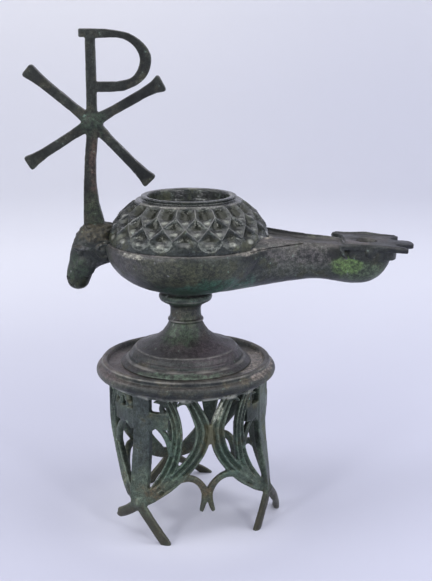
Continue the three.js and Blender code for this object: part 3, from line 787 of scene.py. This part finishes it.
class Nodes:
    """A material being wired up. Its colour builds up in layers."""

    def __init__(self, name):
        self.material = bpy.data.materials.new(name)
        self.material.use_nodes = True
        self.tree = self.material.node_tree
        self.shader = self.tree.nodes["Principled BSDF"]
        self.place = self.node("ShaderNodeTexCoord").outputs["Object"]

    def put(self, socket, value):
        if isinstance(value, bpy.types.NodeSocket):
            self.tree.links.new(value, socket)
        else:
            socket.default_value = value

    def node(self, kind, inputs=None, **settings):
        made = self.tree.nodes.new(kind)
        for key, value in settings.items():
            setattr(made, key, value)
        for key, value in (inputs or {}).items():
            self.put(made.inputs[key], value)
        return made

    def noise(self, size, detail, shift):
        """Noise from 0 to 1 with features of the given size in millimetres."""
        moved = self.node("ShaderNodeMapping", {"Vector": self.place, "Location": (shift, shift, -shift)})
        inputs = {"Vector": moved.outputs[0], "Scale": 1000.0 / size, "Detail": detail, "Roughness": 0.58}
        return self.node("ShaderNodeTexNoise", inputs).outputs["Fac"]

    def vector(self, operation, first, second=(0, 0, 0)):
        return self.node("ShaderNodeVectorMath", {0: first, 1: second}, operation=operation)

    def ramp(self, value, start, end, low=0.0, high=1.0):
        inputs = {"Value": value, "From Min": start, "From Max": end, "To Min": low, "To Max": high}
        return self.node("ShaderNodeMapRange", inputs, interpolation_type="SMOOTHSTEP").outputs[0]

    def calc(self, operation, first, second):
        return self.node("ShaderNodeMath", {0: first, 1: second}, operation=operation).outputs[0]

    def times(self, first, second):
        return self.calc("MULTIPLY", first, second)

    def plus(self, first, second):
        return self.calc("ADD", first, second)

    def lay(self, share, shade):
        """Lays a tone over the colour so far, by a share from 0 to 1."""
        inputs = {0: share, 6: self.colour, 7: tone(*shade)}
        self.colour = self.node("ShaderNodeMix", inputs, data_type="RGBA").outputs[2]


def near(m, centre, radii):
    """A soft patch round a place, in millimetres from the stand's axis, with a ragged edge."""
    at = tuple((np.asarray(centre) + AXIS) / 1000.0)
    shrink = tuple(1000.0 / r for r in radii)
    away = m.vector("SUBTRACT", m.place, at).outputs[0]
    away = m.vector("MULTIPLY", away, shrink).outputs[0]
    away = m.vector("LENGTH", away).outputs["Value"]
    ragged = m.plus(away, m.ramp(m.middle, 0.25, 0.75, -0.45, 0.45))
    return m.ramp(ragged, 0.7, 1.2, 1.0, 0.0)


def circle(m, centre_x, radius, z, width):
    """A line round an upright axis, in millimetres: 1 on the circle, falling to 0 beside it."""
    at = tuple((np.array([centre_x, 0.0, z]) + AXIS) / 1000.0)
    away = m.vector("SUBTRACT", m.place, at).outputs[0]
    flat = m.vector("MULTIPLY", away, (1, 1, 0)).outputs[0]
    out = m.calc("SUBTRACT", m.vector("LENGTH", flat).outputs["Value"], radius / 1000.0)
    up = m.node("ShaderNodeSeparateXYZ", {0: away}).outputs[2]
    squares = m.plus(m.times(out, out), m.times(up, up))
    reach = m.calc("SQRT", squares, 0.0)
    return m.ramp(reach, width * 0.0005, width * 0.0013, 1.0, 0.0)


def add_tones(m):
    """Two tones and a tinge in patches, and a lighter, warmer tone painted on upward faces as light from
    above.
    """
    look = m.look
    m.colour = tone(*look["deep"])
    m.lay(m.ramp(m.wide, 0.36, 0.62), look["main"])
    m.lay(m.ramp(m.middle, 0.5, 0.68, 0.0, 0.75), look["tinge"])
    # Painted light from above: the more a face points up, the more of the top tone it gets.
    top_light = m.node("ShaderNodeSeparateXYZ", {0: m.geometry.outputs["Normal"]}).outputs[2]
    top_light = m.ramp(top_light, 0.25, 0.95, 0.0, 0.7)
    top_light = m.times(top_light, m.ramp(m.wide, 0.35, 0.6, 0.4, 1.0))
    m.lay(top_light, look["top"])


def add_patches(m, patches, start, end, least):
    """Tones in places, each with its centre, radii, tone and greatest share. Fine noise between start and
    end breaks them up, but leaves the least part of that share."""
    for centre, radii, shade, most in patches:
        inside = near(m, centre, radii)
        broken = m.ramp(m.fine, start, end, most * least, most)
        m.lay(m.times(inside, broken), shade)


def add_mottling(m):
    """Lighter and darker spots of three sizes."""
    much = m.look["mottle"]
    middle = m.ramp(m.middle, 0.3, 0.7, 1 - 0.2 * much, 1 + 0.14 * much)
    fine = m.ramp(m.fine, 0.28, 0.72, 1 - 0.38 * much, 1 + 0.36 * much)
    grain = m.ramp(m.grain, 0.3, 0.7, 1 - 0.42 * much, 1 + 0.46 * much)
    spots = m.times(m.times(middle, fine), grain)
    inputs = {0: 1.0, 6: m.colour, 7: spots}
    m.colour = m.node("ShaderNodeMix", inputs, data_type="RGBA", blend_type="MULTIPLY").outputs[2]


def add_rim_wear_and_highlights(m, rims):
    """Rubbed lines round edges, with painted highlights on them, each with its centre along X, its radius,
    its height and its width.
    """
    for rim in rims:
        line = circle(m, *rim)
        broken = m.ramp(m.middle, 0.4, 0.62, 0.08, m.look["rim_most"])
        m.lay(m.times(line, broken), m.look["rim"])


def add_wear(m):
    """Rubbed edges, a tone in the corners that is pale and dusty on most pieces and painted shade on the
    openwork, and pale specks.
    """
    look = m.look
    point = m.geometry.outputs["Pointiness"]
    worn = m.ramp(point, look["worn_from"], 0.6, 0.0, look["worn_most"])
    m.lay(m.times(worn, m.ramp(m.fine, 0.35, 0.6, 0.35, 1.0)), look["worn"])
    # The corner tone: pale and dusty on most pieces, dark painted shade in the openwork's corners and
    # grooves.
    dust = m.ramp(point, 0.485, 0.43, 0.0, look["dust_most"])
    m.dust = m.times(dust, m.ramp(m.fine, 0.42, 0.62))
    m.lay(m.dust, look["dust"])
    speck = m.ramp(m.middle, 0.45, 0.6, 0.0, 0.6)
    m.lay(m.times(m.ramp(m.fine, 0.63, 0.7), speck), look["speck"])


def add_relief(m):
    """Painted shade over dark olive in the upper half of each hollow, painted highlights on the swells, and
    pale ridges, after the values kept on the dome's points.
    """
    look = m.look
    hollow = m.node("ShaderNodeAttribute", attribute_name="hollow").outputs["Fac"]
    ridge = m.node("ShaderNodeAttribute", attribute_name="ridge").outputs["Fac"]
    # Painted shade with dark olive: the upper half of each scale's hollow.
    m.lay(m.ramp(hollow, 0.1, 0.6, 0.0, 0.9), look["hollow"])
    # Painted highlight: the swell at the foot of each scale.
    swell = m.ramp(hollow, -0.25, -0.8, 0.0, 0.7)
    m.lay(m.times(swell, m.ramp(m.middle, 0.36, 0.6)), look["swell"])
    ridge = m.ramp(ridge, 0.4, 0.95, 0.0, 0.6)
    m.lay(m.times(ridge, m.ramp(m.middle, 0.36, 0.6, 0.3, 1.0)), look["ridge"])


def add_surface(m):
    """The colour in place, with the surface's sheen, its grain and its pits."""
    look = m.look
    m.put(m.shader.inputs["Base Color"], m.colour)
    m.put(m.shader.inputs["Metallic"], 0.4)
    rough = m.ramp(m.middle, 0.3, 0.72, look["smooth"], look["rough"])
    rough = m.plus(rough, m.ramp(m.fine, 0.45, 0.75, 0.0, 0.12))
    rough = m.plus(rough, m.times(m.dust, 0.35))
    m.put(m.shader.inputs["Roughness"], rough)
    height = m.plus(m.times(m.fine, 0.8), m.times(m.grain, 0.35))
    pits = m.node("ShaderNodeTexVoronoi", {"Vector": m.place, "Scale": 420.0}).outputs["Distance"]
    height = m.plus(height, m.ramp(pits, 0.0, 0.22, -0.35, 0.0))
    bump = m.node("ShaderNodeBump", {"Height": height, "Strength": 1.0, "Distance": 0.00022})
    m.put(m.shader.inputs["Normal"], bump.outputs[0])


# Tones and shares that the pieces have in common
COMMON = {
    # The top tone is painted light from above, laid on upward faces.
    "deep": (38, 42, 41), "main": (58, 61, 58), "tinge": (62, 64, 48), "top": (84, 76, 80),
    # The corner tone is pale and dusty here; the openwork's dark one is painted shade.
    "worn": (128, 130, 128), "worn_from": 0.525, "worn_most": 0.7, "dust": (150, 142, 128), "dust_most": 0.5,
    "rim": (138, 136, 130), "rim_most": 0.6, "speck": (126, 152, 138), "mottle": 1.0, "smooth": 0.34,
    "rough": 0.58,
}


def bronze(name, patches=(), rims=(), shades=(), scaled=False, **own):
    """Old dark bronze with a piece's own tones. Patches lie under the wear, and shades over it."""
    m = Nodes(name)
    m.look = {**COMMON, **own}
    m.geometry = m.node("ShaderNodeNewGeometry")
    m.wide = m.noise(26, 4, 1.3)
    m.middle = m.noise(8, 6, 2.7)
    m.fine = m.noise(1.9, 6, 4.1)
    m.grain = m.noise(0.55, 3, 5.9)
    add_tones(m)
    add_patches(m, patches, 0.36, 0.6, 0.35)
    add_mottling(m)
    add_rim_wear_and_highlights(m, rims)
    add_wear(m)
    if scaled:
        add_relief(m)
    # The late patches carry painted shade on some pieces.
    add_patches(m, shades, 0.3, 0.55, 0.75)
    add_surface(m)
    return m.material


def openwork_bronze():
    """Green and worn with painted shade in its corners, brown towards the feet, and one painted highlight
    below the tray.
    """
    patches = [
        ((0, 0, 8), (95, 95, 17), (62, 58, 45), 0.8),
        ((4, -40, 30), (26, 14, 8), (82, 70, 50), 0.8),
        # A painted highlight below the tray.
        ((15.5, -39, 75), (4.0, 8, 7), (182, 186, 170), 1.0),
        ((-24, -33, 62), (9, 12, 26), (58, 66, 65), 0.8),
        ((24, -34, 46), (9, 12, 14), (70, 92, 78), 0.6),
        ((-6, -42, 48), (9, 10, 20), (76, 98, 82), 0.65),
    ]
    # A rubbed line with a painted highlight round the hoop's lower edge.
    hoop_edge = (0, 43.5, 80.9, 1.0)
    shades = [
        ((13.4, -41, 60), (3.4, 9, 9), (88, 84, 60), 0.75),
        ((0, 0, 5), (95, 95, 15), (56, 53, 41), 0.55),
    ]
    # Its dark corner tone is painted shade in its corners and grooves.
    return bronze(
        "openwork_bronze", patches, [hoop_edge], shades, deep=(40, 48, 43), main=(76, 88, 76),
        tinge=(72, 70, 50), top=(92, 92, 80), worn=(132, 148, 130), worn_from=0.512, worn_most=0.8,
        rim=(158, 160, 152), rim_most=0.8, dust=(38, 35, 26), dust_most=0.95)


def tray_bronze():
    """Dusty on its floor, with rubbed lines and painted highlights on the lip and a stronger one on the lower
    edge.
    """
    patches = [
        ((38, -4, 89.4), (9, 26, 1.7), (152, 142, 132), 0.85),
        ((-36, -8, 90), (14, 26, 4), (92, 80, 80), 0.6),
    ]
    lower_edge = (0, 43.7, 81.6, 0.8)
    rims = [(0, 46.0, 91.6, 0.5), (0, 43.2, 92.2, 0.5), lower_edge, lower_edge]
    return bronze(
        "tray_bronze", patches, rims, main=(73, 75, 68), tinge=(78, 74, 58), top=(90, 83, 80), rim_most=0.45)


def pedestal_bronze():
    """Brownish, with green on the bell, below the collar and round the foot's edge."""
    patches = [
        ((-2, -12, 108), (10, 9, 10), (62, 78, 60), 0.7),
        ((18, -18, 100), (15, 15, 8), (76, 66, 72), 0.6),
        ((0, -14, 118), (12, 10, 7), (72, 70, 56), 0.5),
        ((0, -34, 90.6), (34, 12, 1.6), (82, 96, 82), 0.8),
        ((0, -12, 126), (15, 12, 4), (66, 84, 70), 0.6),
    ]
    # Rubbed lines with painted highlights on the foot's steps, the neck and the collar.
    rims = [(0, 32.3, 92.8, 0.9), (0, 27.4, 98.8, 0.6), (0, 9.8, 113.5, 0.5), (0, 14.4, 125.4, 0.5)]
    return bronze(
        "pedestal_bronze", patches, rims, rim_most=0.55, main=(58, 63, 60), tinge=(62, 58, 48),
        top=(74, 67, 70))


def bowl_bronze():
    """Brown above and green below, bright green under the wick plate, painted shade inside the nozzle's far
    rim, and a painted shadow on its near side by the wick plate.
    """
    patches = [
        ((-24, -30, 152), (28, 25, 9), (78, 74, 76), 0.6),
        ((2, -40, 147), (30, 18, 8), (70, 74, 54), 0.7),
        ((18, -36, 136), (28, 22, 7), (60, 96, 80), 0.85),
        ((-8, -34, 134), (18, 18, 5), (40, 58, 46), 0.7),
        ((56, -16, 152), (24, 8, 8), (91, 88, 86), 0.7),
        ((56, -18, 144), (20, 8, 5), (78, 82, 74), 0.7),
        ((95, -15, 143), (13, 9, 6), (84, 100, 76), 0.7),
        ((85, -16, 146.5), (7, 8, 5.5), (92, 116, 68), 0.9),
        ((42, -6, 160), (6, 12, 3), (158, 152, 138), 0.8),
        ((-26.5, -34, 155.2), (8, 7, 1.2), (166, 164, 150), 0.5),
        ((34, -30, 156.6), (10, 8, 1.6), (150, 144, 134), 0.5),
    ]
    # A rubbed line with a painted highlight round the shoulder.
    shoulder_edge = (BODY_X, 43.4, 156.7, 0.4)
    shades = [
        # Painted shade on the inner face of the nozzle's far rim.
        ((60, 13.2, 159.2), (34, 3.2, 4.4), (26, 26, 26), 1.0),
        # A painted shadow on the nozzle's near side, under the wick plate's flare.
        ((79.2, -17, 154), (4.6, 6, 4.2), (34, 35, 34), 0.85),
    ]
    return bronze(
        "bowl_bronze", patches, [shoulder_edge], shades, main=(60, 65, 60), tinge=(64, 66, 50),
        top=(80, 74, 75), rim_most=0.5, dust_most=0.4)


def dome_bronze():
    """Smoother than the rest, with painted shade and highlights after its scales, and grey painted shade on
    its inner face.
    """
    # Rubbed lines with painted highlights on the filling hole's lip.
    rims = [(BODY_X, 22.6, 181.3, 0.5), (BODY_X, 28.2, 178.7, 0.6)]
    # Painted shade on the filling hole's inner wall.
    hole_wall_shade = ((BODY_X, 0, 175.5), (22.5, 22.5, 6.4), (58, 58, 60), 0.8)
    return bronze(
        "dome_bronze", (), rims, [hole_wall_shade], scaled=True, main=(58, 63, 59), tinge=(62, 64, 46),
        top=(68, 67, 68), smooth=0.12, rough=0.34, mottle=0.85, worn_most=0.4,
        # The hollow tone is painted shade over dark olive, and the swell tone a painted highlight.
        hollow=(30, 32, 21), ridge=(120, 120, 118), swell=(148, 150, 140))


def plate_bronze():
    """Dark, with two dusty places, a darker tip and painted shade in the wick's hole."""
    patches = [
        ((91, -9, 157), (9, 7, 3), (84, 74, 68), 0.7),
        ((104, 6, 156.5), (9, 9, 3), (70, 62, 60), 0.6),
    ]
    shades = [
        ((117.5, 0, 155), (9, 26, 8), (24, 25, 31), 1.0),
        # Painted shade in the wick's hole.
        ((WICK_X, 1, 154.4), (7.6, 6.6, 3), (22, 20, 18), 0.95),
    ]
    tones = {"main": (48, 51, 49), "tinge": (54, 55, 44), "top": (54, 52, 55)}
    return bronze("plate_bronze", patches, (), shades, **tones)


def head_bronze():
    """Very dark, greener at the muzzle, browner and dustier at the neck, with a painted highlight on the
    brow.
    """
    patches = [
        ((-60, -5, 142), (9, 9, 9), (44, 58, 42), 0.7),
        ((-58, -3, 133), (8, 8, 5), (56, 58, 40), 0.7),
        # A painted highlight on the brow.
        ((-53.2, -8, 154), (3.2, 5, 1.3), (92, 92, 94), 0.5),
        ((-47, -6, 162), (12, 10, 5), (62, 57, 42), 0.7),
        ((-43, -9, 145), (6, 6, 2.4), (92, 92, 96), 0.5),
    ]
    return bronze("head_bronze", patches, main=(37, 41, 39), tinge=(41, 43, 33), top=(50, 46, 40))


def monogram_bronze():
    """Dark with pale rubbed edges, a reddish stem, and green at the foot and the crossing."""
    patches = [
        ((-46.6, -2, 199), (3.6, 5, 16), (74, 58, 52), 0.75),
        ((-48, -2, 173), (6, 5, 9), (50, 58, 42), 0.7),
        ((-48, -2, 219), (8, 5, 8), (48, 62, 48), 0.6),
    ]
    return bronze(
        "monogram_bronze", patches, deep=(24, 27, 25), main=(40, 44, 40), tinge=(56, 55, 44),
        top=(96, 94, 94), worn_from=0.515, worn_most=0.95, mottle=1.3)


# The photograph's pale sweep, soft light and viewpoint

FLOOR_RADIUS = 1200.0
CURVE_RADIUS = 800.0
CURVE_STEPS = 16
BACKDROP_TOP = 2600.0


def painted_light_paper():
    """Pale matt backdrop with painted light and shade: painted shade round the stand with a painted pool of
    light just under it, painted light up the wall, and painted shade towards the front and the right.
    """
    m = Nodes("painted_light_paper")
    away = m.vector("DISTANCE", m.place, tuple(AXIS / 1000.0)).outputs["Value"]
    # Painted shade round the stand, giving way to the far floor's lighter tone.
    m.colour = tone(180, 181, 196)
    m.lay(m.ramp(away, 0.1, 0.8), (224, 225, 233))
    # A painted pool of light just under the stand.
    m.lay(m.ramp(away, 0.02, 0.08, 0.6, 0.0), (232, 233, 244))
    split = m.node("ShaderNodeSeparateXYZ", {0: m.place}).outputs
    # Painted light up the wall.
    m.lay(m.ramp(split[2], 0.0, 0.5), (249, 249, 251))
    # Painted shade towards the front.
    m.lay(m.ramp(split[1], -0.04, -0.26, 0.0, 0.5), (154, 155, 172))
    # Painted shade towards the right.
    m.lay(m.ramp(split[0], -0.3, 0.45, 0.0, 0.3), (196, 199, 220))
    m.put(m.shader.inputs["Base Color"], m.colour)
    m.put(m.shader.inputs["Roughness"], 0.75)
    return m.material


def sweep():
    """A round floor that curves up into a wall."""
    profile = [(0.0, 0.0), (200.0, 0.0), (FLOOR_RADIUS, 0.0)]
    for k in range(1, CURVE_STEPS + 1):
        angle = pi / 2 * k / CURVE_STEPS
        rise = CURVE_RADIUS - CURVE_RADIUS * cos(angle)
        profile.append((FLOOR_RADIUS + CURVE_RADIUS * sin(angle), rise))
    profile.append((FLOOR_RADIUS + CURVE_RADIUS, BACKDROP_TOP))
    obj = revolve("sweep", profile, 128)
    dress(obj, painted_light_paper())


def softbox(name, place, target, size, watts, shade):
    """A rectangular light that faces a target."""
    data = bpy.data.lights.new(name, "AREA")
    data.shape = "RECTANGLE"
    data.size, data.size_y = size
    data.energy = watts
    data.color = shade
    obj = in_scene(name, data)
    obj.location = place
    obj.rotation_euler = (Vector(target) - Vector(place)).to_track_quat("-Z", "Y").to_euler()


def studio():
    """The sweep, three large soft lights, two small ones for highlights, and a pale surrounding."""
    sweep()
    softbox("overhead", (0.1, 0.0, 1.5), (0, 0, 0), (1.5, 1.4), 12.4, (0.98, 0.98, 1.0))
    for name, place, watts in (("left", (-1.15, -0.35, 0.85), 9), ("right", (1.15, -0.3, 0.85), 6.6)):
        softbox(name, place, (0, -0.05, 0.1), (0.8, 0.9), watts, (0.99, 0.99, 1.0))
    for name, place in (("spark_left", (-0.6, -0.85, 0.5)), ("spark_right", (0.55, -0.85, 0.55))):
        softbox(name, place, (0, 0, 0.16), (0.14, 0.2), 3.0, (1.0, 1.0, 1.0))
    world = bpy.data.worlds.new("surroundings")
    world.use_nodes = True
    background = world.node_tree.nodes["Background"]
    background.inputs["Color"].default_value = (0.90, 0.92, 1.0, 1.0)
    background.inputs["Strength"].default_value = 0.49
    bpy.context.scene.world = world


def viewpoint():
    """The photograph's camera, in front of the lamp and a little above it."""
    data = bpy.data.cameras.new("camera")
    data.sensor_width = 36.0
    data.lens = 66.92
    data.clip_start = 0.02
    data.clip_end = 20.0
    obj = in_scene("camera", data)
    obj.location = (-0.002728, -0.570688, 0.2695)
    obj.rotation_euler = (radians(76.1), 0.0, 0.0)
    bpy.context.scene.camera = obj


# Putting the part together

# Each piece's shape, the node that it replaces, its material slot, and its material
PIECES = [
    (openwork, "stand", "stand", openwork_bronze),
    (tray, "stand", "stand", tray_bronze),
    (pedestal, "lamp", "lamp", pedestal_bronze),
    (bowl, "lamp", "lamp", bowl_bronze),
    (dome, "lamp", "lamp", dome_bronze),
    (wick_plate, "lamp", "lamp", plate_bronze),
    (head, "lamp", "lamp", head_bronze),
    (monogram, "lamp", "lamp", monogram_bronze),
]


def main():
    bpy.context.scene.view_settings.view_transform = "Standard"
    studio()
    viewpoint()
    for shape, node, slot, material in PIECES:
        finish_piece(shape(), node, material())


main()
